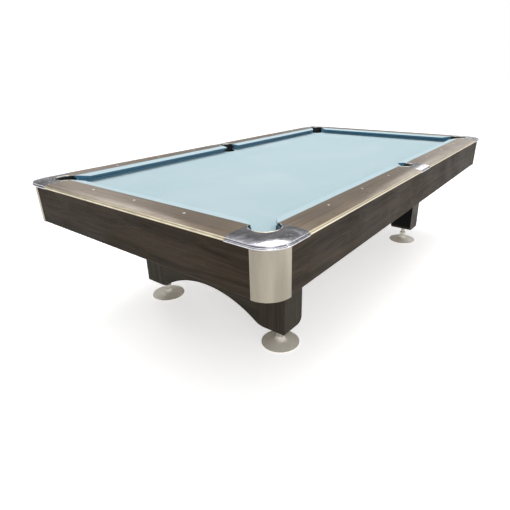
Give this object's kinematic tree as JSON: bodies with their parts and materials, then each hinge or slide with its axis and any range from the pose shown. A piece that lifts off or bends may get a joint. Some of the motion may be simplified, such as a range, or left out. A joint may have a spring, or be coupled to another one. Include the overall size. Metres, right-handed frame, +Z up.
{
  "type": "pool table",
  "caption": "Pool table with cloth bed, six drop pockets, metal corner castings and plates, dark wood aprons and legs, and screw levelling feet.",
  "frame": {"origin": "on the floor under the middle of the bed", "axes": "+X along the table towards the foot end, +Y across it to the left side, +Z up"},
  "size_m": [2.918, 1.648, 0.82],
  "materials": {
    "apron_wood": "dark brown wood grain along the table",
    "bed_cloth": "pale blue worsted billiard cloth",
    "black_steel": "black",
    "chrome_casting": "polished",
    "cushion_cloth": "gum rubber under stretched pale blue cloth",
    "foot_metal": "satin cast aluminium",
    "frame_timber": "planed softwood",
    "leg_wood": "dark brown wood grain, upright",
    "pocket_black": "moulded black",
    "rail_laminate": "brown laminate, satin with a metallic sheen",
    "satin_plate": "satin, warm silver",
    "sight_white": "white, flush",
    "slate": "honed grey slate",
    "stud_steel": "machined steel",
    "trim_metal": "pale champagne anodised",
    "zinc_steel": "zinc plated"
  },
  "bodies": {
    "table": {"apron_brackets": "black_steel", "apron_foot": "apron_wood", "apron_head": "apron_wood", "apron_left": "apron_wood", "apron_right": "apron_wood", "arch_panel_foot": "leg_wood", "arch_panel_head": "leg_wood", "bed_cloth": "bed_cloth", "corner_casting_foot_left": "chrome_casting", "corner_casting_foot_right": "chrome_casting", "corner_casting_head_left": "chrome_casting", "corner_casting_head_right": "chrome_casting", "corner_plate_foot_left": "satin_plate", "corner_plate_foot_right": "satin_plate", "corner_plate_head_left": "satin_plate", "corner_plate_head_right": "satin_plate", "corner_pocket_buckets": "pocket_black", "corner_pocket_liners": "pocket_black", "cushion_foot": "cushion_cloth", "cushion_head": "cushion_cloth", "cushion_left_foot": "cushion_cloth", "cushion_left_head": "cushion_cloth", "cushion_right_foot": "cushion_cloth", "cushion_right_head": "cushion_cloth", "end_subrails": "frame_timber", "frame_cross_beams": "frame_timber", "frame_side_beams": "frame_timber", "leg_bolts": "zinc_steel", "leg_foot_left": "leg_wood", "leg_foot_right": "leg_wood", "leg_head_left": "leg_wood", "leg_head_right": "leg_wood", "leveller_nut_plates": "black_steel", "rail_bolts": "zinc_steel", "rail_cap_foot": "rail_laminate", "rail_cap_head": "rail_laminate", "rail_cap_left_foot": "rail_laminate", "rail_cap_left_head": "rail_laminate", "rail_cap_right_foot": "rail_laminate", "rail_cap_right_head": "rail_laminate", "rail_trims": "trim_metal", "side_casting_left": "chrome_casting", "side_casting_right": "chrome_casting", "side_pocket_buckets": "pocket_black", "side_pocket_liners": "pocket_black", "side_subrails": "frame_timber", "sights": "sight_white", "slate_foot": "slate", "slate_head": "slate", "slate_middle": "slate", "slate_screws": "zinc_steel"},
    "dish_head_left": {"leveller_dish_head_left": "foot_metal"},
    "stud_head_left": {"leveller_stud_head_left": "stud_steel"},
    "dish_head_right": {"leveller_dish_head_right": "foot_metal"},
    "stud_head_right": {"leveller_stud_head_right": "stud_steel"},
    "dish_foot_left": {"leveller_dish_foot_left": "foot_metal"},
    "stud_foot_left": {"leveller_stud_foot_left": "stud_steel"},
    "dish_foot_right": {"leveller_dish_foot_right": "foot_metal"},
    "stud_foot_right": {"leveller_stud_foot_right": "stud_steel"}
  },
  "joints": [
    {"name": "foot_lift_head_left", "type": "slide", "parent": "table", "child": "dish_head_left", "axis": [0, 0, 1], "range_m": [-0.021, 0.03]},
    {"name": "stud_turn_head_left", "type": "hinge", "parent": "dish_head_left", "child": "stud_head_left", "pos_m": [-0.904, 0.452, 0.06], "axis": [0, 0, 1], "range_deg": [-2521, 3601]},
    {"name": "foot_lift_head_right", "type": "slide", "parent": "table", "child": "dish_head_right", "axis": [0, 0, 1], "range_m": [-0.021, 0.03]},
    {"name": "stud_turn_head_right", "type": "hinge", "parent": "dish_head_right", "child": "stud_head_right", "pos_m": [-0.904, -0.452, 0.06], "axis": [0, 0, 1], "range_deg": [-2521, 3601]},
    {"name": "foot_lift_foot_left", "type": "slide", "parent": "table", "child": "dish_foot_left", "axis": [0, 0, 1], "range_m": [-0.021, 0.03]},
    {"name": "stud_turn_foot_left", "type": "hinge", "parent": "dish_foot_left", "child": "stud_foot_left", "pos_m": [0.904, 0.452, 0.06], "axis": [0, 0, 1], "range_deg": [-2521, 3601]},
    {"name": "foot_lift_foot_right", "type": "slide", "parent": "table", "child": "dish_foot_right", "axis": [0, 0, 1], "range_m": [-0.021, 0.03]},
    {"name": "stud_turn_foot_right", "type": "hinge", "parent": "dish_foot_right", "child": "stud_foot_right", "pos_m": [0.904, -0.452, 0.06], "axis": [0, 0, 1], "range_deg": [-2521, 3601]}
  ],
  "couplings": [
    {"joint": "stud_turn_head_left", "follows": "foot_lift_head_left", "rad_per_m": 2094.4},
    {"joint": "stud_turn_head_right", "follows": "foot_lift_head_right", "rad_per_m": 2094.4},
    {"joint": "stud_turn_foot_left", "follows": "foot_lift_foot_left", "rad_per_m": 2094.4},
    {"joint": "stud_turn_foot_right", "follows": "foot_lift_foot_right", "rad_per_m": 2094.4}
  ]
}
